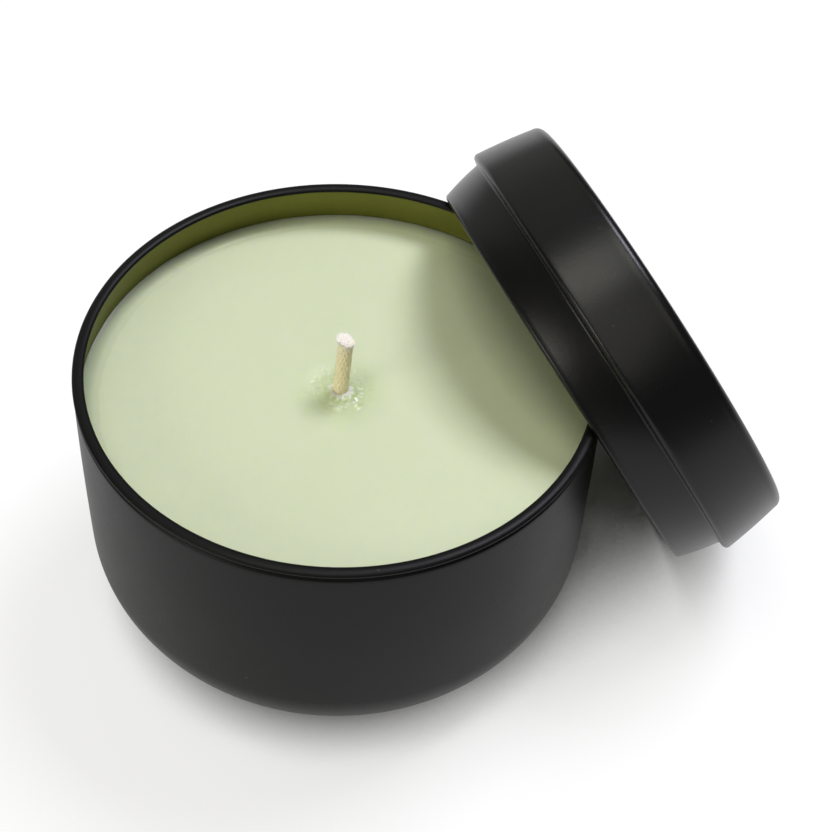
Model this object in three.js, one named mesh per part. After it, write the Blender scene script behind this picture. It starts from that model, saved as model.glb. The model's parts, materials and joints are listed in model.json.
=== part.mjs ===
// Candle tin: a drawn steel tin with a rolled rim, filled with wax around a braided
// wick, and its stepped push-in lid, which leans on the rim with its mouth towards the wax.
//
// Millimetres, +Z up. The origin is the centre of the tin's flat underside, and the lid
// leans towards +X. Every piece is a separate closed solid.

import * as THREE from 'three';

// ---------------------------------------------------------------- driving dimensions

const ROUND_SEGMENTS = 52;      // facets around the tin, the wax and the lid
const SMALL_SEGMENTS = 16;      // facets around the wick and its holder
const FIT_GAP = 0.06;           // between pieces that touch

// The tin: one drawn steel shell.
const TIN_HEIGHT = 50.5;
const BEAD_OUTER_RADIUS = 40;   // around the outside of the rolled rim
const BEAD_HALF_WIDTH = 0.88;   // the curl's section is a flattened oval
const BEAD_HALF_HEIGHT = 0.48;
const CURL_START = 180;         // degrees around the oval, from the neck over the top
const CURL_END = -60;           // to the free edge, tucked under the bead
const BELLY_RADIUS = 40.4;      // the bowed wall, outside, where it meets the foot
const SHOULDER_RADIUS = 39.95;  // and where it starts to neck in
const SHOULDER_DROP = 1.7;      // depth of the shoulder below the top
const PLAIN_WALL_DROP = 4.2;    // the wall is drawn in plain steps up to this far below the top
const TIN_SHEET = 0.3;
const FOOT_ACROSS = 24;         // the rounded foot: a quarter ellipse, this much inwards
const FOOT_UP = 18.5;           // and this much upwards

// The wax, poured around the wick.
const WAX_LEVEL = 43.1;
const MENISCUS_RISE = 0.3;      // the wax climbs the wall by this much
const MENISCUS_WIDTH = 2.6;
const MENISCUS_KNEE = 0.8;      // the climb is steepest this close to the wall
const MENISCUS_KNEE_RISE = 0.06;
const COLLAR_RISE = 0.45;       // a ring of wax drawn up around the foot of the wick
const COLLAR_SHOULDER = 0.3;    // its rise halfway out
const COLLAR_SHOULDER_RADIUS = 2.1;
const COLLAR_RADIUS = 2.6;
const COLLAR_LIP = 0.12;        // width of its top beside the cotton
const COLLAR_LIP_DROP = 0.09;
const DIMPLE_DEPTH = 0.35;      // the shallow sink around the wick
const DIMPLE_RADIUS = 9;

// The wick, its metal holder and the pad that fixes the holder to the tin's floor.
const WICK_RADIUS = 1.2;
const WICK_CORE_RADIUS = 0.42;
const WICK_TOP = 54.1;
const WICK_LEAN = 0.7;          // sideways travel of the tip, above the wax
const LEAN_STEPS = 4;
const WICK_SEAT = 0.4;          // the wick stands this far above the holder's underside
const PAD_RADIUS = 9;
const PAD_THICKNESS = 0.9;
const HOLDER_RADIUS = 10;
const HOLDER_SHEET = 0.3;
const HOLDER_NECK_RADIUS = 1.75;
const HOLDER_NECK_HEIGHT = 6;
const NECK_FILLET = 0.5;
const NECK_CHAMFER = 0.3;

// The lid: a drawn shell with a narrow plug, which enters the rim, and a wide band above it.
const MOUTH_RADIUS = 35.5;      // plug, at its open end
const NECK_RADIUS = 36.8;       // plug, where it meets the step
const PLUG_LENGTH = 7.3;
const STEP_RADIUS = 38.4;       // wide band, at the step that rests on the rim
const TOP_RADIUS = 36.8;        // wide band, at the closed end
const BAND_LENGTH = 11.9;
const LID_BOW = 0.12;           // both walls bulge by this much halfway along
const LID_SHEET = 0.35;
const HEM_RADIUS = 0.7;         // the plug's edge is rolled inwards
const HEM_START = -220;         // degrees around the hem, from its free edge to the plug's wall
const CREASE_ROUND = 0.7;
const STEP_ROUND = 0.8;
const TOP_ROUND = 1.5;

// Where the lid leans, its lowest edge just clear of the ground: the centre of its mouth, and the
// rise of its axis.
const LID_MOUTH_X = 39.4;
const LID_MOUTH_Z = 31.38;
const LID_AXIS_RISE = THREE.MathUtils.degToRad(27.8);

// ---------------------------------------------------------------- profile helpers

const point = (radius, height) => new THREE.Vector2(radius, height);

// Points of an elliptical arc, both ends included. Angles are in degrees, from +radius.
function arc(centre, across, up, from, to, steps) {
  const points = [];
  for (let i = 0; i <= steps; i += 1) {
    const angle = THREE.MathUtils.degToRad(from + ((to - from) * i) / steps);
    points.push(point(centre.x + across * Math.cos(angle), centre.y + up * Math.sin(angle)));
  }
  return points;
}

// A smooth S from one point to another that leaves and arrives upright.
function upright_bend(from, to, steps) {
  const points = [];
  for (let i = 0; i <= steps; i += 1) {
    const t = i / steps;
    const blend = t * t * (3 - 2 * t);
    points.push(point(from.x + (to.x - from.x) * blend, from.y + (to.y - from.y) * t));
  }
  return points;
}

// Points strictly between two others, on a line that bulges outwards halfway along.
function bowed(from, to, bow, steps) {
  const points = [];
  for (let i = 1; i < steps; i += 1) {
    const t = i / steps;
    const here = from.clone().lerp(to, t);
    here.x += bow * 4 * t * (1 - t);
    points.push(here);
  }
  return points;
}

// Moves an open line of points sideways. A positive distance goes to the left of travel.
function offset_line(points, distance) {
  return points.map((here, i) => {
    const before = points[Math.max(i - 1, 0)];
    const after = points[Math.min(i + 1, points.length - 1)];
    const along = after.clone().sub(before).normalize();
    return point(here.x - along.y * distance, here.y + along.x * distance);
  });
}

// Turns a profile about the Z axis. The profile runs anticlockwise around its section,
// with the axis on its left, and starts and ends on the axis or closes on itself.
function turned(profile, segments) {
  const geometry = new THREE.LatheGeometry(profile, segments);
  geometry.rotateX(Math.PI / 2);
  return geometry;
}

function closed(profile) {
  return [...profile, profile[0].clone()];
}

function piece(name, geometry, material) {
  const mesh = new THREE.Mesh(geometry, material);
  mesh.name = name;
  return mesh;
}

// ---------------------------------------------------------------- materials

function black_paint() {
  return new THREE.MeshStandardMaterial({ color: 0x1c1c1c, roughness: 0.5, metalness: 0.1 });
}

function pale_green_wax() {
  return new THREE.MeshStandardMaterial({ color: 0xd2dab9, roughness: 0.45, metalness: 0 });
}

function cotton() {
  return new THREE.MeshStandardMaterial({ color: 0xe3d9b8, roughness: 0.9, metalness: 0 });
}

function paper() {
  return new THREE.MeshStandardMaterial({ color: 0xefe9da, roughness: 0.95, metalness: 0 });
}

function bright_steel() {
  return new THREE.MeshStandardMaterial({ color: 0xb8b9bb, roughness: 0.3, metalness: 1 });
}

function foam_pad() {
  return new THREE.MeshStandardMaterial({ color: 0xf2f2ee, roughness: 0.9, metalness: 0 });
}

// ---------------------------------------------------------------- the tin

const SHOULDER_HEIGHT = TIN_HEIGHT - SHOULDER_DROP;

// Outside radius of the bowed wall, which stands upright at the foot and closes in above it.
function wall_radius(height) {
  const t = (height - FOOT_UP) / (SHOULDER_HEIGHT - FOOT_UP);
  return BELLY_RADIUS - (BELLY_RADIUS - SHOULDER_RADIUS) * t * t;
}

// The rounded foot and the bowed wall above it, up to a height, this far inside the
// outside surface. The points run upwards.
function foot_and_wall(inset, top, steps) {
  const centre = point(BELLY_RADIUS - FOOT_ACROSS, FOOT_UP);
  const points = arc(centre, FOOT_ACROSS - inset, FOOT_UP - inset, -90, 0, 7);
  for (let i = 1; i <= steps; i += 1) {
    const height = FOOT_UP + ((top - FOOT_UP) * i) / steps;
    points.push(point(wall_radius(height) - inset, height));
  }
  return points;
}

// The middle of the sheet, from the neck over the curl to its free edge, which tucks in
// below the bead and stops short of the shoulder.
function rim_middle() {
  const half = TIN_SHEET / 2;
  const across = BEAD_HALF_WIDTH - half;
  const up = BEAD_HALF_HEIGHT - half;
  const centre = point(BEAD_OUTER_RADIUS - BEAD_HALF_WIDTH, TIN_HEIGHT - BEAD_HALF_HEIGHT);
  const neck_foot = point(SHOULDER_RADIUS - half, SHOULDER_HEIGHT);
  const neck_top = point(centre.x - across, centre.y);
  const neck = upright_bend(neck_foot, neck_top, 4);
  return [...neck, ...arc(centre, across, up, CURL_START, CURL_END, 10).slice(1)];
}

function tin_body() {
  const rim = rim_middle();
  const half = TIN_SHEET / 2;
  const wall_top = TIN_HEIGHT - PLAIN_WALL_DROP;
  const profile = [
    point(0, 0),
    ...foot_and_wall(0, wall_top, 3),
    ...offset_line(rim, -half),
    ...offset_line(rim, half).reverse(),
    ...foot_and_wall(TIN_SHEET, wall_top, 3).reverse(),
    point(0, TIN_SHEET),
  ];
  return piece('tin_body', turned(profile, ROUND_SEGMENTS), black_paint());
}

// ---------------------------------------------------------------- inside the tin

const PAD_BOTTOM = TIN_SHEET + FIT_GAP;
const HOLDER_BOTTOM = PAD_BOTTOM + PAD_THICKNESS + FIT_GAP;
const HOLDER_TOP = HOLDER_BOTTOM + HOLDER_SHEET + HOLDER_NECK_HEIGHT;
const WICK_BOTTOM = HOLDER_BOTTOM + WICK_SEAT;

// The poured surface, from the wall inwards: it climbs the wall, sinks a little around the
// wick and rises again as a collar against it.
function wax_surface(channel) {
  const edge = WAX_LEVEL + MENISCUS_RISE;
  const wall = wall_radius(edge) - TIN_SHEET - FIT_GAP;
  return [
    point(wall, edge),
    point(wall - MENISCUS_KNEE, WAX_LEVEL + MENISCUS_KNEE_RISE),
    point(wall - MENISCUS_WIDTH, WAX_LEVEL),
    point(DIMPLE_RADIUS, WAX_LEVEL),
    point(DIMPLE_RADIUS / 2, WAX_LEVEL - DIMPLE_DEPTH),
    point(COLLAR_RADIUS, WAX_LEVEL - DIMPLE_DEPTH / 2),
    point(COLLAR_SHOULDER_RADIUS, WAX_LEVEL + COLLAR_SHOULDER),
    point(channel + COLLAR_LIP, WAX_LEVEL + COLLAR_RISE),
    point(channel, WAX_LEVEL + COLLAR_RISE - COLLAR_LIP_DROP),
  ];
}

// The room that the wax leaves for the holder, from its neck outwards.
function around_holder() {
  const neck = HOLDER_NECK_RADIUS + FIT_GAP;
  const floor = HOLDER_BOTTOM + HOLDER_SHEET + FIT_GAP;
  return [
    point(neck, HOLDER_TOP + FIT_GAP),
    point(neck, floor + NECK_FILLET),
    point(neck + NECK_FILLET, floor),
    point(HOLDER_RADIUS + FIT_GAP, floor),
  ];
}

function wax_fill() {
  const skin = TIN_SHEET + FIT_GAP;
  const channel = WICK_RADIUS + FIT_GAP;
  const profile = closed([
    point(HOLDER_RADIUS + FIT_GAP, skin),
    ...foot_and_wall(skin, WAX_LEVEL - MENISCUS_WIDTH, 2),
    ...wax_surface(channel),
    point(channel, HOLDER_TOP + FIT_GAP),
    ...around_holder(),
  ]);
  return piece('wax_fill', turned(profile, ROUND_SEGMENTS), pale_green_wax());
}

// Slides each point of an upright wick piece sideways, more towards the tip, so that it
// stays straight in the wax and leans above it.
function lean_above_wax(geometry) {
  const free_foot = WAX_LEVEL + COLLAR_RISE;
  const positions = geometry.attributes.position;
  for (let i = 0; i < positions.count; i += 1) {
    const t = THREE.MathUtils.clamp(
      (positions.getZ(i) - free_foot) / (WICK_TOP - free_foot), 0, 1);
    positions.setX(i, positions.getX(i) + WICK_LEAN * t * (1.5 - 0.5 * t));
  }
  return geometry;
}

// Heights along the wick, with closer steps where it leans.
function wick_heights(bottom) {
  const free_foot = WAX_LEVEL + COLLAR_RISE;
  const heights = [bottom];
  for (let i = 0; i <= LEAN_STEPS; i += 1) {
    heights.push(free_foot + ((WICK_TOP - free_foot) * i) / LEAN_STEPS);
  }
  return heights;
}

function wick_braid() {
  const heights = wick_heights(WICK_BOTTOM);
  const bore = WICK_CORE_RADIUS + FIT_GAP;
  const profile = closed([
    ...heights.map((height) => point(WICK_RADIUS, height)),
    ...heights.toReversed().map((height) => point(bore, height)),
  ]);
  return piece('wick_braid', lean_above_wax(turned(profile, SMALL_SEGMENTS)), cotton());
}

function wick_core() {
  const heights = wick_heights(WICK_BOTTOM);
  const profile = [
    point(0, WICK_BOTTOM),
    ...heights.map((height) => point(WICK_CORE_RADIUS, height)),
    point(0, WICK_TOP),
  ];
  return piece('wick_core', lean_above_wax(turned(profile, SMALL_SEGMENTS)), paper());
}

// A stamped disc with a neck, crimped around the foot of the wick.
function wick_holder() {
  const floor = HOLDER_BOTTOM + HOLDER_SHEET;
  const bore = WICK_RADIUS + FIT_GAP;
  const profile = [
    point(0, HOLDER_BOTTOM),
    point(HOLDER_RADIUS, HOLDER_BOTTOM),
    point(HOLDER_RADIUS, floor),
    point(HOLDER_NECK_RADIUS + NECK_FILLET, floor),
    point(HOLDER_NECK_RADIUS, floor + NECK_FILLET),
    point(HOLDER_NECK_RADIUS, HOLDER_TOP - NECK_CHAMFER),
    point(HOLDER_NECK_RADIUS - NECK_CHAMFER, HOLDER_TOP),
    point(bore, HOLDER_TOP),
    point(bore, WICK_BOTTOM - FIT_GAP),
    point(0, WICK_BOTTOM - FIT_GAP),
  ];
  return piece('wick_holder', turned(profile, 2 * SMALL_SEGMENTS), bright_steel());
}

function adhesive_pad() {
  const profile = [
    point(0, PAD_BOTTOM),
    point(PAD_RADIUS, PAD_BOTTOM),
    point(PAD_RADIUS, PAD_BOTTOM + PAD_THICKNESS),
    point(0, PAD_BOTTOM + PAD_THICKNESS),
  ];
  return piece('adhesive_pad', turned(profile, 2 * SMALL_SEGMENTS), foam_pad());
}

// ---------------------------------------------------------------- the lid

// The middle of the lid's sheet, from the rolled hem at its mouth to its closed end.
function lid_middle() {
  const half = LID_SHEET / 2;
  const hem = HEM_RADIUS - half;
  const step = STEP_ROUND - half;
  const top = TOP_ROUND - half;
  const total = PLUG_LENGTH + BAND_LENGTH;
  const hem_centre = point(MOUTH_RADIUS - HEM_RADIUS, HEM_RADIUS);
  const step_centre = point(STEP_RADIUS - STEP_ROUND, PLUG_LENGTH + STEP_ROUND);
  const top_centre = point(TOP_RADIUS - TOP_ROUND, total - TOP_ROUND);
  const crease_centre = point(
    NECK_RADIUS - half + CREASE_ROUND, PLUG_LENGTH + half - CREASE_ROUND);
  const plug_end = point(NECK_RADIUS - half, crease_centre.y);
  const band_start = point(STEP_RADIUS - half, step_centre.y);
  const band_end = point(TOP_RADIUS - half, top_centre.y);
  return [
    ...arc(hem_centre, hem, hem, HEM_START, 0, 6),
    ...bowed(point(MOUTH_RADIUS - half, HEM_RADIUS), plug_end, LID_BOW, 2),
    ...arc(crease_centre, CREASE_ROUND, CREASE_ROUND, 180, 90, 2),
    ...arc(step_centre, step, step, -90, 0, 2),
    ...bowed(band_start, band_end, LID_BOW, 3),
    ...arc(top_centre, top, top, 0, 90, 3),
  ];
}

function lid() {
  const middle = lid_middle();
  const half = LID_SHEET / 2;
  const total = PLUG_LENGTH + BAND_LENGTH;
  const profile = [
    point(0, total - LID_SHEET),
    ...offset_line(middle, half).reverse(),
    ...offset_line(middle, -half),
    point(0, total),
  ];
  return piece('lid', turned(profile, ROUND_SEGMENTS), black_paint());
}

// The leaning lid: its axis rises from the mouth, away from the tin.
function leaning_lid() {
  const group = new THREE.Group();
  group.position.set(LID_MOUTH_X, 0, LID_MOUTH_Z);
  group.rotation.y = Math.PI / 2 - LID_AXIS_RISE;
  group.add(lid());
  return group;
}

// ---------------------------------------------------------------- assembly

const candle_tin = new THREE.Group();
candle_tin.add(tin_body());
candle_tin.add(adhesive_pad());
candle_tin.add(wick_holder());
candle_tin.add(wick_core());
candle_tin.add(wick_braid());
candle_tin.add(wax_fill());
candle_tin.add(leaning_lid());

export default candle_tin;
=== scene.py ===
"""Candle tin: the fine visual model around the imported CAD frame, in metres, +Z up.

The tin stands at the origin and its lid leans on the rim towards +X. The shells and the
wax are turned meshes at a fine step, and the wick is plaited yarn by yarn.
"""

import json
import math
import random

import bpy
import numpy as np
from mathutils import Matrix, Vector, noise


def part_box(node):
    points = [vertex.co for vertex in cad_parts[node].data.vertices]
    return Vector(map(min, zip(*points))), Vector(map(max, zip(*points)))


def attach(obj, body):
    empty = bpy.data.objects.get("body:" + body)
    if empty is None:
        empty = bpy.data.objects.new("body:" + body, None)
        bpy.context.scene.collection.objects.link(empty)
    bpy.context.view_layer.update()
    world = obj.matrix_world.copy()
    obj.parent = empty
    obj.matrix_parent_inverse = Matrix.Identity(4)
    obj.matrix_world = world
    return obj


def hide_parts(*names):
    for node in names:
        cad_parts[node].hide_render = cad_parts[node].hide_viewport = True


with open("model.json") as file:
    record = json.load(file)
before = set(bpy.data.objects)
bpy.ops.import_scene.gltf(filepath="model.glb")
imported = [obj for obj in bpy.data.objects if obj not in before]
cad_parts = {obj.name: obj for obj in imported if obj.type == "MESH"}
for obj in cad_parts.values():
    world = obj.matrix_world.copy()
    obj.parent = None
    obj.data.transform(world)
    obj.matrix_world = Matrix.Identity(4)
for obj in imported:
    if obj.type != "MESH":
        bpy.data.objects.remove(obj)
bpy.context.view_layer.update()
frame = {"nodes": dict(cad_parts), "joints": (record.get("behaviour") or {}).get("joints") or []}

MM = 0.001

# ------------------------------------------------------------ sizes, in millimetres


def node_box(name):
    low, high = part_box(name)
    return low / MM, high / MM


tin_high = node_box("tin_body")[1]
wax_high = node_box("wax_fill")[1]
wick_low, wick_high = node_box("wick_braid")
holder_low, holder_high = node_box("wick_holder")

TIN_HEIGHT = tin_high.z
BELLY_RADIUS = tin_high.x
BEAD_OUTER_RADIUS = 40.0
BEAD_HALF_WIDTH = 0.88
BEAD_HALF_HEIGHT = 0.48
SHOULDER_RADIUS = 39.95
SHOULDER_DROP = 1.7
SHOULDER_HEIGHT = TIN_HEIGHT - SHOULDER_DROP
CURL_START = 180        # degrees around the bead's section, from the neck over the top
CURL_END = -60          # to the free edge
TIN_SHEET = 0.3
FOOT_ACROSS = 24.0
FOOT_UP = 18.5

MENISCUS_RISE = 0.3
WAX_LEVEL = wax_high.z - MENISCUS_RISE
FIT_GAP = 0.06

WICK_RADIUS = -wick_low.x
WICK_TOP = wick_high.z
WICK_BOTTOM = wick_low.z
WICK_LEAN = wick_high.x - WICK_RADIUS
COLLAR_RISE = 0.45
COLLAR_TOP = WAX_LEVEL + COLLAR_RISE

HOLDER_NECK_RADIUS = 1.75
NECK_FILLET = 0.5

MOUTH_RADIUS = 35.5
NECK_RADIUS = 36.8
PLUG_LENGTH = 7.3
STEP_RADIUS = 38.4
TOP_RADIUS = 36.8
BAND_LENGTH = 11.9
LID_SHEET = 0.35
LID_BOW = 0.12
HEM_RADIUS = 0.7
HEM_START = -220        # degrees around the hem, from its free edge
CREASE_ROUND = 0.7
STEP_ROUND = 0.8
TOP_ROUND = 1.5
LID_LENGTH = PLUG_LENGTH + BAND_LENGTH
# Where the lid leans: the centre of its mouth.
LID_MOUTH_X = 39.4
LID_MOUTH_Z = 31.38

LID_AXIS = Vector(next(j for j in frame["joints"] if j["name"] == "lid_lift")["axis"])
LID_AXIS.normalize()
LID_RISE = math.asin(LID_AXIS.z)

ROUND_STEPS = 288       # facets around every turned mesh
ON_AXIS = 1e-6          # a profile point closer than this to the axis is on it


# ------------------------------------------------------------ profile helpers


def arc(centre, across, up, start, stop, steps):
    """Points of an elliptical arc, both ends included. Angles are in degrees."""
    angles = [math.radians(start + (stop - start) * i / steps) for i in range(steps + 1)]
    return [(centre[0] + across * math.cos(a), centre[1] + up * math.sin(a)) for a in angles]


def upright_bend(start, stop, steps):
    """A smooth S that leaves one point and arrives at the other upright."""
    points = []
    for i in range(steps + 1):
        t = i / steps
        blend = t * t * (3 - 2 * t)
        across = start[0] + (stop[0] - start[0]) * blend
        points.append((across, start[1] + (stop[1] - start[1]) * t))
    return points


def bowed(start, stop, bow, steps):
    """Points strictly between two others, on a line that bulges outwards halfway along."""
    points = []
    for i in range(1, steps):
        t = i / steps
        bulge = bow * 4 * t * (1 - t)
        across = start[0] + (stop[0] - start[0]) * t + bulge
        points.append((across, start[1] + (stop[1] - start[1]) * t))
    return points


def offset_line(points, distance):
    """Moves an open line of points sideways, to the left of travel where positive."""
    line = np.array(points)
    along = np.gradient(line, axis=0)
    along /= np.linalg.norm(along, axis=1)[:, None]
    left = np.stack([-along[:, 1], along[:, 0]], axis=1)
    return [tuple(p) for p in line + distance * left]


def resample(points, longest):
    """Adds points so that no stretch is longer than that."""
    dense = []
    for a, b in zip(points, points[1:]):
        count = max(1, math.ceil(math.dist(a, b) / longest))
        across, up = b[0] - a[0], b[1] - a[1]
        dense += [(a[0] + across * i / count, a[1] + up * i / count) for i in range(count)]
    return dense + [points[-1]]


# ------------------------------------------------------------ mesh helpers


def new_object(name, vertices, faces, materials, face_material=None):
    """A mesh object from millimetre vertices."""
    mesh = bpy.data.meshes.new(name)
    mesh.from_pydata([(x * MM, y * MM, z * MM) for x, y, z in vertices], [], faces)
    for material in materials:
        mesh.materials.append(material)
    if face_material is not None:
        mesh.polygons.foreach_set("material_index", face_material)
    mesh.polygons.foreach_set("use_smooth", [True] * len(mesh.polygons))
    mesh.update()
    made = bpy.data.objects.new(name, mesh)
    bpy.context.scene.collection.objects.link(made)
    return made


def turned(name, profile, materials, material_of=None, place=None):
    """Turns a closed (radius, height) profile about +Z. The profile runs anticlockwise."""
    vertices = []
    rows = []
    for radius, height in profile:
        if radius < ON_AXIS:
            rows.append([len(vertices)] * ROUND_STEPS)
            vertices.append((0.0, 0.0, height))
            continue
        rows.append(list(range(len(vertices), len(vertices) + ROUND_STEPS)))
        for i in range(ROUND_STEPS):
            angle = 2 * math.pi * i / ROUND_STEPS
            vertices.append((radius * math.cos(angle), radius * math.sin(angle), height))
    faces = []
    indices = []
    # A profile that starts on the axis is closed there, without a last row of faces.
    on_axis = profile[0][0] < ON_AXIS
    count = len(profile) - 1 if on_axis else len(profile)
    for row in range(count):
        low, high = rows[row], rows[(row + 1) % len(profile)]
        for i in range(ROUND_STEPS):
            j = (i + 1) % ROUND_STEPS
            corners = list(dict.fromkeys([low[i], low[j], high[j], high[i]]))
            faces.append(corners)
            indices.append(material_of(row) if material_of else 0)
    if place is not None:
        vertices = [tuple(place @ Vector(v)) for v in vertices]
    return new_object(name, vertices, faces, materials, indices)


# ------------------------------------------------------------ node helpers


class Tree:
    """A material's node tree, with one short call for each kind of node."""

    def __init__(self, name):
        self.material = bpy.data.materials.new(name)
        self.material.use_nodes = True
        self.nodes = self.material.node_tree.nodes
        self.links = self.material.node_tree.links
        self.shader = self.nodes["Principled BSDF"]
        self.where = self.nodes.new("ShaderNodeTexCoord").outputs["Object"]

    def link(self, source, target):
        self.links.new(source, target)

    def set(self, **values):
        """Sets sockets of the shader. Underscores stand for spaces."""
        for name, value in values.items():
            self.shader.inputs[name.replace("_", " ")].default_value = value

    def noise(self, scale, detail=3.0, roughness=0.5, where=None):
        node = self.nodes.new("ShaderNodeTexNoise")
        node.inputs["Scale"].default_value = scale
        node.inputs["Detail"].default_value = detail
        node.inputs["Roughness"].default_value = roughness
        self.link(where or self.where, node.inputs["Vector"])
        return node.outputs["Fac"]

    def stretched(self, x, y, z):
        node = self.nodes.new("ShaderNodeMapping")
        node.inputs["Scale"].default_value = (x, y, z)
        self.link(self.where, node.inputs["Vector"])
        return node.outputs["Vector"]

    def ramp(self, source, low, high, to_low=0.0, to_high=1.0):
        node = self.nodes.new("ShaderNodeMapRange")
        node.inputs["From Min"].default_value = low
        node.inputs["From Max"].default_value = high
        node.inputs["To Min"].default_value = to_low
        node.inputs["To Max"].default_value = to_high
        self.link(source, node.inputs["Value"])
        return node.outputs["Result"]

    def height(self):
        """Height above the origin."""
        parts = self.nodes.new("ShaderNodeSeparateXYZ")
        self.link(self.where, parts.inputs["Vector"])
        return parts.outputs["Z"]

    def length_across(self):
        """Distance from the Z axis."""
        parts = self.nodes.new("ShaderNodeSeparateXYZ")
        self.link(self.where, parts.inputs["Vector"])
        x, y = parts.outputs["X"], parts.outputs["Y"]
        across, along = self.math("MULTIPLY", x, x), self.math("MULTIPLY", y, y)
        return self.math("SQRT", self.math("ADD", across, along))

    def math(self, operation, a, b=None):
        node = self.nodes.new("ShaderNodeMath")
        node.operation = operation
        for socket, value in zip(node.inputs, (a, b)):
            if value is None:
                continue
            if isinstance(value, (int, float)):
                socket.default_value = value
            else:
                self.link(value, socket)
        return node.outputs[0]

    def mix(self, factor, a, b):
        """Mixes two colours, each a tuple or a socket."""
        node = self.nodes.new("ShaderNodeMix")
        node.data_type = "RGBA"
        sockets = [s for s in node.inputs if s.type == "RGBA"]
        self.link(factor, node.inputs["Factor"])
        for socket, value in zip(sockets, (a, b)):
            if isinstance(value, tuple):
                socket.default_value = (*value, 1.0)
            else:
                self.link(value, socket)
        return next(s for s in node.outputs if s.type == "RGBA")

    def bump(self, height, distance, strength=1.0):
        node = self.nodes.new("ShaderNodeBump")
        node.inputs["Strength"].default_value = strength
        node.inputs["Distance"].default_value = distance
        self.link(height, node.inputs["Height"])
        self.link(node.outputs["Normal"], self.shader.inputs["Normal"])

    def colour(self, source):
        self.link(source, self.shader.inputs["Base Color"])

    def roughness(self, source):
        self.link(source, self.shader.inputs["Roughness"])


# ------------------------------------------------------------ materials


def black_paint(name, roughness, shine):
    """Satin powder paint: a fine even grain, slow gloss changes and a few dust specks."""
    tree = Tree(name)
    grain = tree.noise(2600, detail=4)
    cloud = tree.noise(42, detail=4, roughness=0.6)
    speck = tree.ramp(tree.noise(900, detail=1), 0.795, 0.83)
    paint = tree.mix(cloud, (0.0030, 0.0029, 0.0031), (0.0044, 0.0043, 0.0043))
    tree.colour(tree.mix(speck, paint, (0.03, 0.03, 0.029)))
    worn = tree.ramp(cloud, 0.3, 0.7, roughness - 0.02, roughness + 0.03)
    tree.roughness(tree.math("ADD", worn, tree.ramp(grain, 0.3, 0.7, -0.02, 0.02)))
    tree.bump(grain, 0.000012)
    tree.set(IOR=1.5, Specular_IOR_Level=shine)
    return tree.material


def gold_lacquer(name):
    """Olive-gold can lacquer over bare steel, with faint draw marks up the wall."""
    tree = Tree(name)
    marks = tree.noise(60, detail=5, roughness=0.6, where=tree.stretched(14, 14, 0.6))
    cloud = tree.noise(90, detail=3)
    shade = tree.math("ADD", tree.math("MULTIPLY", marks, 0.6), tree.math("MULTIPLY", cloud, 0.4))
    tree.colour(tree.mix(shade, (0.135, 0.14, 0.016), (0.19, 0.195, 0.031)))
    tree.roughness(tree.ramp(marks, 0.3, 0.7, 0.34, 0.46))
    tree.bump(marks, 0.00002)
    tree.set(Metallic=0.55, IOR=1.5)
    return tree.material


def poured_wax(name):
    """Pale green wax: soft scattering, a cloudy tint and a faint waxy sheen.

    Greener around the wick, a painted shade of the hollow there, paler on the crumbs there, and
    duller in colour at the wall, a painted shade that the wall casts.
    """
    tree = Tree(name)
    cloud = tree.noise(38, detail=4, roughness=0.55)
    mottle = tree.noise(420, detail=4, roughness=0.6)
    broad, fine = tree.math("MULTIPLY", cloud, 0.75), tree.math("MULTIPLY", mottle, 0.25)
    blend = tree.math("ADD", broad, fine)
    tint = tree.mix(tree.ramp(blend, 0.3, 0.7), (0.60, 0.655, 0.455), (0.625, 0.675, 0.48))
    from_axis = tree.length_across()
    from_wick = tree.ramp(from_axis, 0.0015, 0.0085)
    level = WAX_LEVEL * MM
    lump = tree.ramp(tree.height(), level + 0.00002, level + 0.0003)
    lump = tree.math("MULTIPLY", lump, tree.ramp(from_axis, 0.006, 0.005))
    # Painted shade: a deeper green close to the wick stands in for the shade in the hollow around
    # it.
    wick_painted_shade = tree.mix(from_wick, (0.53, 0.61, 0.36), tint)
    wick_shade_and_crumbs = tree.mix(lump, wick_painted_shade, (0.66, 0.70, 0.56))
    # Painted shade: darker and greyer towards the wall, standing in for the shade that the wall
    # throws on the wax.
    tree.colour(tree.mix(tree.ramp(from_axis, 0.0376, 0.0395), wick_shade_and_crumbs, (0.40, 0.46, 0.30)))
    # Glossier around the wick and beside the wall.
    outside, inside = tree.ramp(from_axis, 0.003, 0.006), tree.ramp(from_axis, 0.0372, 0.0355)
    sheen = tree.math("MULTIPLY", outside, inside)
    worn = tree.ramp(mottle, 0.25, 0.75, 0.36, 0.46)
    tree.roughness(tree.math("MULTIPLY", worn, tree.ramp(sheen, 0.0, 1.0, 0.5, 1.0)))
    tree.bump(tree.noise(1500, detail=3), 0.00001)
    tree.set(Subsurface_Weight=1.0, Subsurface_Scale=0.0026, IOR=1.43)
    tree.shader.inputs["Subsurface Radius"].default_value = (1.0, 1.1, 0.6)
    return tree.material


def cotton_yarn(name, pale, deep):
    """Waxed cotton: fine fibres along the wick, darker in the creases."""
    tree = Tree(name)
    fibres = tree.noise(900, detail=4, roughness=0.65, where=tree.stretched(4, 4, 0.25))
    blotch = tree.noise(500, detail=3)
    shade = tree.math("ADD", tree.math("MULTIPLY", fibres, 0.6), tree.math("MULTIPLY", blotch, 0.4))
    tree.colour(tree.mix(tree.ramp(shade, 0.3, 0.7), deep, pale))
    tree.roughness(tree.ramp(fibres, 0.3, 0.7, 0.6, 0.8))
    tree.bump(fibres, 0.00002)
    tree.set(Specular_IOR_Level=0.3)
    return tree.material


def twisted_paper(name):
    tree = Tree(name)
    fibres = tree.noise(1200, detail=5, where=tree.stretched(3, 3, 0.7))
    tree.colour(tree.mix(fibres, (0.66, 0.6, 0.46), (0.82, 0.77, 0.64)))
    tree.roughness(tree.ramp(fibres, 0.3, 0.7, 0.8, 0.95))
    tree.bump(fibres, 0.00003)
    return tree.material


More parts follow.
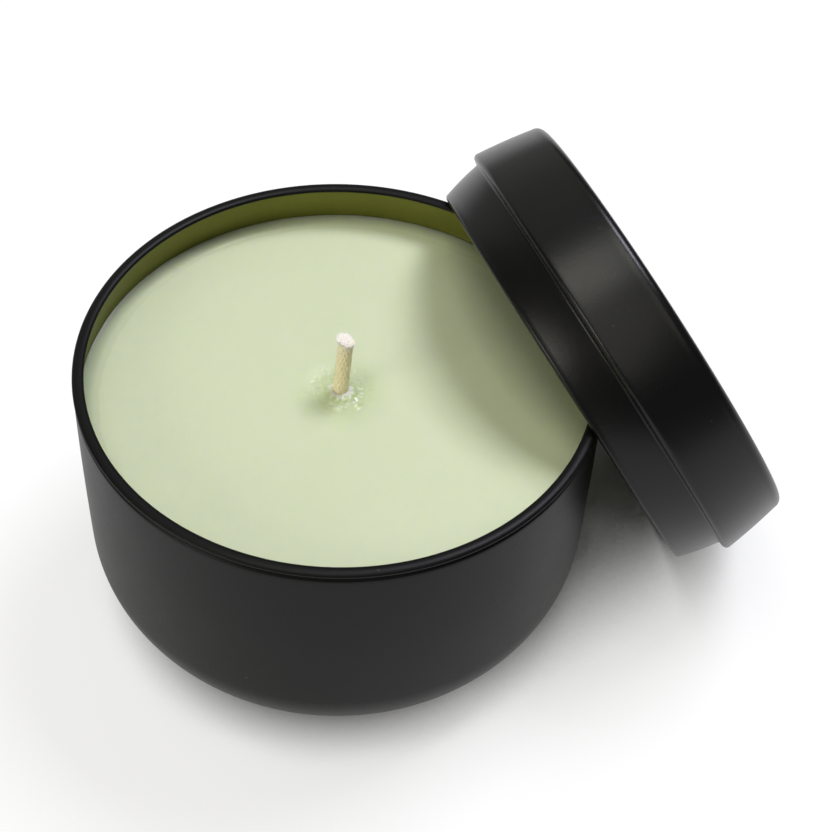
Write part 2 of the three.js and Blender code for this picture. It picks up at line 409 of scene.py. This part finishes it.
def stamped_tinplate(name):
    tree = Tree(name)
    brushed = tree.noise(300, detail=5, where=tree.stretched(1, 12, 1))
    tree.colour(tree.mix(brushed, (0.52, 0.52, 0.53), (0.66, 0.66, 0.67)))
    tree.roughness(tree.ramp(brushed, 0.3, 0.7, 0.22, 0.36))
    tree.bump(brushed, 0.00001)
    tree.set(Metallic=1.0)
    return tree.material


def adhesive_foam(name):
    tree = Tree(name)
    cells = tree.noise(2200, detail=3)
    tree.colour(tree.mix(cells, (0.74, 0.74, 0.71), (0.86, 0.86, 0.83)))
    tree.roughness(tree.ramp(cells, 0.3, 0.7, 0.8, 0.95))
    tree.bump(cells, 0.00005)
    return tree.material


def studio_floor(name):
    """A white table that gives off a little painted light, less of it near what stands on it, which
    paints shadow there.
    """
    tree = Tree(name)
    cloud = tree.noise(3, detail=2)
    tree.colour(tree.mix(cloud, (0.345, 0.345, 0.347), (0.355, 0.355, 0.355)))
    # Painted light: the floor emits light, dimmed by occlusion, so painted shadow lies close around
    # what stands on it.
    open_sky = tree.nodes.new("ShaderNodeAmbientOcclusion")
    open_sky.inputs["Distance"].default_value = 0.06
    open_sky.samples = 32
    painted_floor_light = tree.ramp(open_sky.outputs["AO"], 0.245, 0.57, 0.0, 0.65)
    tree.link(painted_floor_light, tree.shader.inputs["Emission Strength"])
    tree.shader.inputs["Emission Color"].default_value = (1.0, 1.0, 1.0, 1.0)
    tree.set(Roughness=0.9, Specular_IOR_Level=0.1)
    return tree.material


# ------------------------------------------------------------ the tin's shell


def wall_radius(height):
    """Outside radius of the bowed wall, upright at the foot and closing in above it."""
    t = (height - FOOT_UP) / (SHOULDER_HEIGHT - FOOT_UP)
    return BELLY_RADIUS - (BELLY_RADIUS - SHOULDER_RADIUS) * t * t


def foot_and_wall(inset, top, steps):
    """The rounded foot and the wall up to a height, this far inside the outside surface."""
    centre = (BELLY_RADIUS - FOOT_ACROSS, FOOT_UP)
    points = arc(centre, FOOT_ACROSS - inset, FOOT_UP - inset, -90, 0, 44)
    heights = [FOOT_UP + (top - FOOT_UP) * i / steps for i in range(1, steps + 1)]
    return points + [(wall_radius(height) - inset, height) for height in heights]


NECK_STEPS = 18
WALL_STEPS = 14
PLAIN_WALL_DROP = 0.6   # the plain wall ends this far below the shoulder
BARE_NECK_POINTS = 17   # points of the neck's inside below the paint's edge


def rim_middle():
    """The middle of the sheet, from the neck over the curl to its free edge."""
    half = TIN_SHEET / 2
    across = BEAD_HALF_WIDTH - half
    up = BEAD_HALF_HEIGHT - half
    centre = (BEAD_OUTER_RADIUS - BEAD_HALF_WIDTH, TIN_HEIGHT - BEAD_HALF_HEIGHT)
    neck_foot = (SHOULDER_RADIUS - half, SHOULDER_HEIGHT)
    neck = upright_bend(neck_foot, (centre[0] - across, centre[1]), NECK_STEPS)
    return neck + arc(centre, across, up, CURL_START, CURL_END, 54)[1:]


def tin_shell(paint, lacquer):
    rim = rim_middle()
    half = TIN_SHEET / 2
    wall_top = SHOULDER_HEIGHT - PLAIN_WALL_DROP
    rim_inside = offset_line(rim, half)[::-1]
    inner_wall = foot_and_wall(TIN_SHEET, wall_top, WALL_STEPS)[::-1]
    # The paint wraps over the curl and ends where the curl turns back to the neck.
    paint_end = len(rim_inside) - BARE_NECK_POINTS
    outer_wall = foot_and_wall(0.0, wall_top, WALL_STEPS)
    painted = [(0.0, 0.0), *outer_wall, *offset_line(rim, -half)]
    bare = [*rim_inside[paint_end:], *inner_wall, (0.0, TIN_SHEET)]
    profile = [*painted, *rim_inside[:paint_end], *bare]
    first_bare = len(painted) + paint_end - 1
    shell = turned(
        "tin_shell", profile, [paint, lacquer], lambda row: 1 if row >= first_bare else 0)
    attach(shell, "tin")
    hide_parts("tin_body")
    return shell


# ------------------------------------------------------------ the lid


LID_STRETCH = 2.5       # the longest stretch between two points of its profile
PAINTED_HEM_POINTS = 12  # points of the hem's inside that the paint reaches


def lid_middle():
    """The middle of the lid's sheet, from the rolled hem to the closed end."""
    half = LID_SHEET / 2
    hem = HEM_RADIUS - half
    hem_centre = (MOUTH_RADIUS - HEM_RADIUS, HEM_RADIUS)
    step_centre = (STEP_RADIUS - STEP_ROUND, PLUG_LENGTH + STEP_ROUND)
    top_centre = (TOP_RADIUS - TOP_ROUND, LID_LENGTH - TOP_ROUND)
    crease_centre = (NECK_RADIUS - half + CREASE_ROUND, PLUG_LENGTH + half - CREASE_ROUND)
    step = STEP_ROUND - half
    top = TOP_ROUND - half
    plug = ((MOUTH_RADIUS - half, HEM_RADIUS), (NECK_RADIUS - half, crease_centre[1]))
    band = ((STEP_RADIUS - half, step_centre[1]), (TOP_RADIUS - half, top_centre[1]))
    return [
        *arc(hem_centre, hem, hem, HEM_START, 0, 26),
        *bowed(*plug, LID_BOW, 10),
        *arc(crease_centre, CREASE_ROUND, CREASE_ROUND, 180, 90, 10),
        *arc(step_centre, step, step, -90, 0, 10),
        *bowed(*band, LID_BOW, 14),
        *arc(top_centre, top, top, 0, 90, 16),
    ]


def lid_place():
    """From the lid's own frame, mouth at 0 and axis +Z, to where it leans."""
    mouth = Matrix.Translation((LID_MOUTH_X, 0, LID_MOUTH_Z))
    return mouth @ Matrix.Rotation(math.pi / 2 - LID_RISE, 4, "Y")


def lid_shell(paint, lacquer):
    middle = lid_middle()
    half = LID_SHEET / 2
    inside = [(0.0, LID_LENGTH - LID_SHEET), *offset_line(middle, half)[::-1]]
    outside = [*offset_line(middle, -half), (0.0, LID_LENGTH)]
    inside = resample(inside, LID_STRETCH)
    profile = [*inside, *resample(outside, LID_STRETCH)]
    last_bare = len(inside) - PAINTED_HEM_POINTS
    shell = turned(
        "lid_shell", profile, [paint, lacquer],
        lambda row: 1 if row < last_bare else 0, place=lid_place())
    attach(shell, "lid")
    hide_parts("lid")
    return shell


# ------------------------------------------------------------ the wax


def smooth_step(low, high, value):
    t = min(max((value - low) / (high - low), 0.0), 1.0)
    return t * t * (3 - 2 * t)


def bell(value):
    return math.exp(-(value ** 2))


CRUMBS = [
    # angle in degrees, distance from the axis, radius and height of each wax crumb
    (205, 2.1, 0.60, 0.34),
    (238, 2.0, 0.50, 0.50),
    (240, 3.5, 0.60, 0.32),
    (262, 2.1, 0.45, 0.46),
    (286, 3.9, 0.75, 0.45),
    (292, 2.2, 0.55, 0.50),
    (320, 2.0, 0.50, 0.42),
    (350, 1.9, 0.50, 0.34),
    (60, 2.0, 0.50, 0.28),
    (140, 2.0, 0.50, 0.26),
]


WAX_RADIUS = wall_radius(wax_high.z) - TIN_SHEET - FIT_GAP
MENISCUS_REACH = 0.55
# The cooled skin leaves a low ridge beside part of the wall.
RIDGE_MIDDLE = 98.0     # degrees around the tin
RIDGE_SPREAD = 12.0
RIDGE_INSIDE = 2.2      # from the wall
RIDGE_RISE = 0.15
RIDGE_WIDTH = 0.42
# It sinks a little around the wick and creeps up the cotton.
DIMPLE_DEPTH = 0.5
DIMPLE_RADIUS = 3.6
DIMPLE_WIDTH = 2.2
CREEP_RISE = 0.62
CREEP_REACH = 0.75


def wax_height(radius, angle):
    """Height of the wax's surface, in millimetres."""
    from_wall = WAX_RADIUS - radius
    height = WAX_LEVEL
    height += MENISCUS_RISE * math.exp(-from_wall / MENISCUS_REACH)
    ridge = RIDGE_RISE if from_wall > 0 else 0.0
    turn = (math.degrees(angle) - RIDGE_MIDDLE + 180) % 360 - 180
    height += ridge * bell(turn / RIDGE_SPREAD) * bell((from_wall - RIDGE_INSIDE) / RIDGE_WIDTH)
    height -= DIMPLE_DEPTH * bell((radius - DIMPLE_RADIUS) / DIMPLE_WIDTH)
    height += CREEP_RISE * math.exp(-((radius - WICK_RADIUS) / CREEP_REACH))
    x, y = radius * math.cos(angle), radius * math.sin(angle)
    for degrees, distance, size, rise in CRUMBS:
        cx = distance * math.cos(math.radians(degrees))
        cy = distance * math.sin(math.radians(degrees))
        gap = math.hypot(x - cx, y - cy) / size
        if gap < 1.6:
            height += rise * math.exp(-(gap ** 2) * 1.6)
    # Uneven close to the wick, and very slightly wavy all over.
    near = 1 - smooth_step(2.5, 7.0, radius)
    height += 0.10 * near * noise.noise(Vector((x * 1.9, y * 1.9, 3.1)))
    height += 0.020 * noise.noise(Vector((x * 0.11, y * 0.11, 7.7)))
    return height


WAX_BORE = WICK_RADIUS + FIT_GAP
FINE_CENTRE = 9.0       # the surface has fine steps out to here
FINE_EDGE = 6.0         # and this close to the wall


def wax_radii():
    """Radii of the surface's rings, from the wick to the wall."""
    middle = WAX_RADIUS - FINE_EDGE - FINE_CENTRE
    radii = [WAX_BORE + (FINE_CENTRE - WAX_BORE) * (i / 60) for i in range(60)]
    radii += [FINE_CENTRE + middle * (i / 30) for i in range(30)]
    return radii + [WAX_RADIUS - FINE_EDGE * (1 - i / 40) for i in range(41)]


def wax_underside():
    """Profile of the wax below its surface, down the wall and up around the holder."""
    skin = TIN_SHEET + FIT_GAP
    side = foot_and_wall(skin, WAX_LEVEL - 1, 12)[::-1]
    disc_radius = holder_high.x + FIT_GAP
    disc_top = holder_low.z + TIN_SHEET + FIT_GAP
    neck_radius = HOLDER_NECK_RADIUS + FIT_GAP
    neck_top = holder_high.z + FIT_GAP
    return [
        *side,
        (disc_radius, skin),
        (disc_radius, disc_top),
        (neck_radius + NECK_FILLET, disc_top),
        (neck_radius, disc_top + NECK_FILLET),
        (neck_radius, neck_top),
        (WAX_BORE, neck_top),
        (WAX_BORE, (holder_high.z + WAX_LEVEL) / 2),
    ]


def add_ring(radius, height_at, vertices):
    for i in range(ROUND_STEPS):
        angle = 2 * math.pi * i / ROUND_STEPS
        point = (radius * math.cos(angle), radius * math.sin(angle), height_at(angle))
        vertices.append(point)


def wax_body(wax):
    vertices, rows = [], []
    for radius in wax_radii():
        rows.append(len(vertices))
        add_ring(radius, lambda angle, r=radius: wax_height(r, angle), vertices)
    for radius, height in wax_underside():
        rows.append(len(vertices))
        add_ring(radius, lambda angle, h=height: h, vertices)
    faces = []
    for row, low in enumerate(rows):
        high = rows[(row + 1) % len(rows)]
        for i in range(ROUND_STEPS):
            j = (i + 1) % ROUND_STEPS
            faces.append((low + i, high + i, high + j, low + j))
    made = new_object("wax_body", vertices, faces, [wax])
    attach(made, "tin")
    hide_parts("wax_fill")
    return made


# ------------------------------------------------------------ the wick

YARNS = 12              # in each direction
YARN_RADIUS = 0.26
PLAIT_PITCH = 24.0      # height of one full turn
FILLERS = 10            # straight yarns between the core and the plait
FILLER_RADIUS = 0.25
FILLER_RING = 0.69
YARN_SIDES = 8
YARN_STEPS = 260
WEAVE = 0.12            # a yarn moves in and out by this share of its radius
PLAIT_DROP = 0.25       # the plait ends this far below the wick's top
FILLER_DROP = 0.3
CUT_AZIMUTH = math.radians(-25)
CUT_SLOPE = 0.36
TUFT_SEED = 11
TUFT_FIBRES = 700
TUFT_ROOT = 1.02        # radius of the tuft where the fibres leave the plait


def wick_lean(height):
    t = min(max((height - COLLAR_TOP) / (WICK_TOP - COLLAR_TOP), 0.0), 1.0)
    return WICK_LEAN * t * (1.5 - 0.5 * t)


def tube(points, radius_of, sides, vertices, faces):
    """Adds a closed round tube along the points to the lists."""
    start = len(vertices)
    line = [Vector(p) for p in points]
    across = Vector((1, 0, 0))
    for i, here in enumerate(line):
        along = line[min(i + 1, len(line) - 1)] - line[max(i - 1, 0)]
        along.normalize()
        across = (across - along * across.dot(along)).normalized()
        side = along.cross(across)
        for k in range(sides):
            angle = 2 * math.pi * k / sides
            spoke = across * math.cos(angle) + side * math.sin(angle)
            vertices.append(tuple(here + spoke * radius_of(i / (len(line) - 1))))
    for i in range(len(line) - 1):
        low, high = start + i * sides, start + (i + 1) * sides
        for k in range(sides):
            j = (k + 1) % sides
            faces.append((low + k, low + j, high + j, high + k))
    faces.append(tuple(start + k for k in reversed(range(sides))))
    faces.append(tuple(start + (len(line) - 1) * sides + k for k in range(sides)))


def add_fillers(vertices, faces):
    """Straight yarns between the core and the plait."""
    length = WICK_TOP - FILLER_DROP - WICK_BOTTOM
    heights = [WICK_BOTTOM + length * i / 40 for i in range(41)]
    for filler in range(FILLERS):
        angle = 2 * math.pi * filler / FILLERS
        x, y = FILLER_RING * math.cos(angle), FILLER_RING * math.sin(angle)
        line = [(x + wick_lean(height), y, height) for height in heights]
        tube(line, lambda t: FILLER_RADIUS, YARN_SIDES, vertices, faces)


def yarn_line(way, yarn):
    """The middle of a yarn that winds up the wick, over and under the others."""
    middle = WICK_RADIUS - 1.15 * YARN_RADIUS
    length = WICK_TOP - PLAIT_DROP - WICK_BOTTOM
    points = []
    for i in range(YARN_STEPS + 1):
        height = WICK_BOTTOM + length * i / YARN_STEPS
        turn = 2 * math.pi * height / PLAIT_PITCH
        angle = way * turn + 2 * math.pi * yarn / YARNS
        # Each yarn meets one of the other way 2 * YARNS times a turn.
        weave = math.cos(YARNS * turn + (0 if way > 0 else math.pi) + yarn * math.pi)
        radius = middle + WEAVE * YARN_RADIUS * weave
        x = radius * math.cos(angle) + wick_lean(height)
        points.append((x, radius * math.sin(angle), height))
    return points


def plaited_wick(cotton):
    """Yarns that wind both ways around straight fillers, each over and under the others."""
    vertices, faces = [], []
    add_fillers(vertices, faces)
    for way in (1, -1):
        for yarn in range(YARNS):
            tube(yarn_line(way, yarn), lambda t: YARN_RADIUS, YARN_SIDES, vertices, faces)
    wick = new_object("wick_plait", vertices, faces, [cotton])
    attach(wick, "tin")
    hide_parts("wick_braid")
    return wick


def frayed_tip(cotton):
    """Cut fibre ends that spread a little around a pale, slanted tuft."""
    draw = random.Random(TUFT_SEED)
    vertices, faces = [], []
    for _ in range(TUFT_FIBRES):
        angle = draw.uniform(0, 2 * math.pi)
        out = math.sqrt(draw.random())
        foot_radius = TUFT_ROOT * out
        tip_radius = foot_radius + (0.04 + 0.40 * out) * draw.uniform(0.6, 1.05)
        tip = Vector((tip_radius * math.cos(angle), tip_radius * math.sin(angle), 0))
        # The cut slants down towards the front and the lean.
        down = tip.x * math.cos(CUT_AZIMUTH) + tip.y * math.sin(CUT_AZIMUTH)
        top = WICK_TOP + 0.2 - CUT_SLOPE * down - draw.uniform(0, 0.12)
        bottom = top - draw.uniform(1.8, 2.6)
        foot = Vector((foot_radius * math.cos(angle), foot_radius * math.sin(angle), bottom))
        twist = draw.uniform(-0.2, 0.2)
        points = []
        for i in range(6):
            t = i / 5
            x = foot.x + (tip.x - foot.x) * t * t
            y = foot.y + (tip.y - foot.y) * t * t
            z = bottom + (top - bottom) * t
            bend = twist * t * (1 - t)
            points.append((x - y * bend + wick_lean(z), y + x * bend, z))
        thick = draw.uniform(0.045, 0.07)
        tube(points, lambda t, r=thick: r * (1 - 0.15 * t), 5, vertices, faces)
    tuft = new_object("wick_tuft", vertices, faces, [cotton])
    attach(tuft, "tin")
    return tuft


# ------------------------------------------------------------ camera, lights and floor

VIEW_AZIMUTH = math.radians(-111.64)
VIEW_ELEVATION = math.radians(47.1)
VIEW_DISTANCE = 241.5
VIEW_PAN = math.radians(2.722)
VIEW_TILT = math.radians(2.023)
VIEW_ROLL = math.radians(1.073)
SENSOR = 36.0
FOCAL_LENGTH = 69.23
NEAREST = 0.01          # of what the camera sees, in metres


def make_camera():
    """Aims at the rim's centre, then pans, tilts and rolls the little that the framing needs."""
    back = Vector((
        math.cos(VIEW_ELEVATION) * math.cos(VIEW_AZIMUTH),
        math.cos(VIEW_ELEVATION) * math.sin(VIEW_AZIMUTH),
        math.sin(VIEW_ELEVATION)))
    right = Vector((-math.sin(VIEW_AZIMUTH), math.cos(VIEW_AZIMUTH), 0))
    up = back.cross(right)
    aimed = Matrix((right, up, back)).transposed()
    turn = (
        aimed
        @ Matrix.Rotation(-VIEW_PAN, 3, "Y")
        @ Matrix.Rotation(-VIEW_TILT, 3, "X")
        @ Matrix.Rotation(VIEW_ROLL, 3, "Z"))
    data = bpy.data.cameras.new("camera")
    data.sensor_width = SENSOR
    data.lens = FOCAL_LENGTH
    data.clip_start = NEAREST
    camera = bpy.data.objects.new("camera", data)
    rim_centre = Vector((0, 0, TIN_HEIGHT))
    place = Matrix.Translation((rim_centre + back * VIEW_DISTANCE) * MM)
    camera.matrix_world = place @ turn.to_4x4()
    bpy.context.scene.collection.objects.link(camera)
    bpy.context.scene.camera = camera


AIM_HEIGHT = 0.03       # the lights aim at this height, in metres
FLOOR_HALF = 4.0        # half the floor's side, in metres
SKY_STRENGTH = 0.07


def softbox(name, azimuth, elevation, distance, size, power, colour=(1, 1, 1)):
    """A square area light aimed at the object. Angles in degrees, lengths in metres."""
    data = bpy.data.lights.new(name, "AREA")
    data.shape = "SQUARE"
    data.size = size
    data.energy = power
    data.color = colour
    light = bpy.data.objects.new(name, data)
    a, e = math.radians(azimuth), math.radians(elevation)
    toward = Vector((math.cos(e) * math.cos(a), math.cos(e) * math.sin(a), math.sin(e)))
    light.location = toward * distance + Vector((0, 0, AIM_HEIGHT))
    light.rotation_mode = "QUATERNION"
    light.rotation_quaternion = toward.to_track_quat("Z", "Y")
    bpy.context.scene.collection.objects.link(light)


def make_studio():
    mesh = bpy.data.meshes.new("floor")
    corners = [(x * FLOOR_HALF, y * FLOOR_HALF, 0) for x, y in ((-1, -1), (1, -1), (1, 1), (-1, 1))]
    mesh.from_pydata(corners, [], [(0, 1, 2, 3)])
    mesh.materials.append(studio_floor("floor_white"))
    floor = bpy.data.objects.new("floor", mesh)
    bpy.context.scene.collection.objects.link(floor)

    world = bpy.data.worlds.new("studio")
    world.use_nodes = True
    sky = world.node_tree.nodes["Background"]
    sky.inputs["Color"].default_value = (1, 1, 1, 1)
    sky.inputs["Strength"].default_value = SKY_STRENGTH
    bpy.context.scene.world = world

    # azimuth, elevation, distance, side, watts
    softbox("key", 20, 63, 1.0, 0.38, 6.8, colour=(0.97, 0.985, 1.10))
    softbox("overhead", -178, 80, 1.0, 0.40, 2.4, colour=(1.0, 0.985, 0.88))
    softbox("front", -107, 56, 1.0, 0.60, 1.4, colour=(1.0, 0.98, 0.88))
    softbox("fill", -165, 20, 1.0, 0.45, 3.2, colour=(1.0, 0.97, 0.86))
    softbox("backdrop", 100, 35, 1.2, 1.2, 1.9, colour=(1.0, 1.0, 0.92))

    bpy.context.scene.view_settings.view_transform = "Standard"


# ------------------------------------------------------------ assembly


def finish_cad_node(name, material):
    """Gives a CAD node that stays a material of its own."""
    node = frame["nodes"][name]
    node.data.materials.clear()
    node.data.materials.append(material)


make_camera()
make_studio()

tin_paint = black_paint("tin_paint", 0.42, 0.135)
lacquer = gold_lacquer("tin_lacquer")
tin_shell(tin_paint, lacquer)
lid_shell(black_paint("lid_paint", 0.30, 0.28), lacquer)
wax_body(poured_wax("wax"))
plaited_wick(cotton_yarn("cotton", (0.99, 0.91, 0.66), (0.94, 0.81, 0.51)))
frayed_tip(cotton_yarn("cut_cotton", (0.99, 0.96, 0.91), (0.96, 0.91, 0.85)))
finish_cad_node("wick_core", twisted_paper("core_paper"))
finish_cad_node("wick_holder", stamped_tinplate("holder_steel"))
finish_cad_node("adhesive_pad", adhesive_foam("pad_foam"))
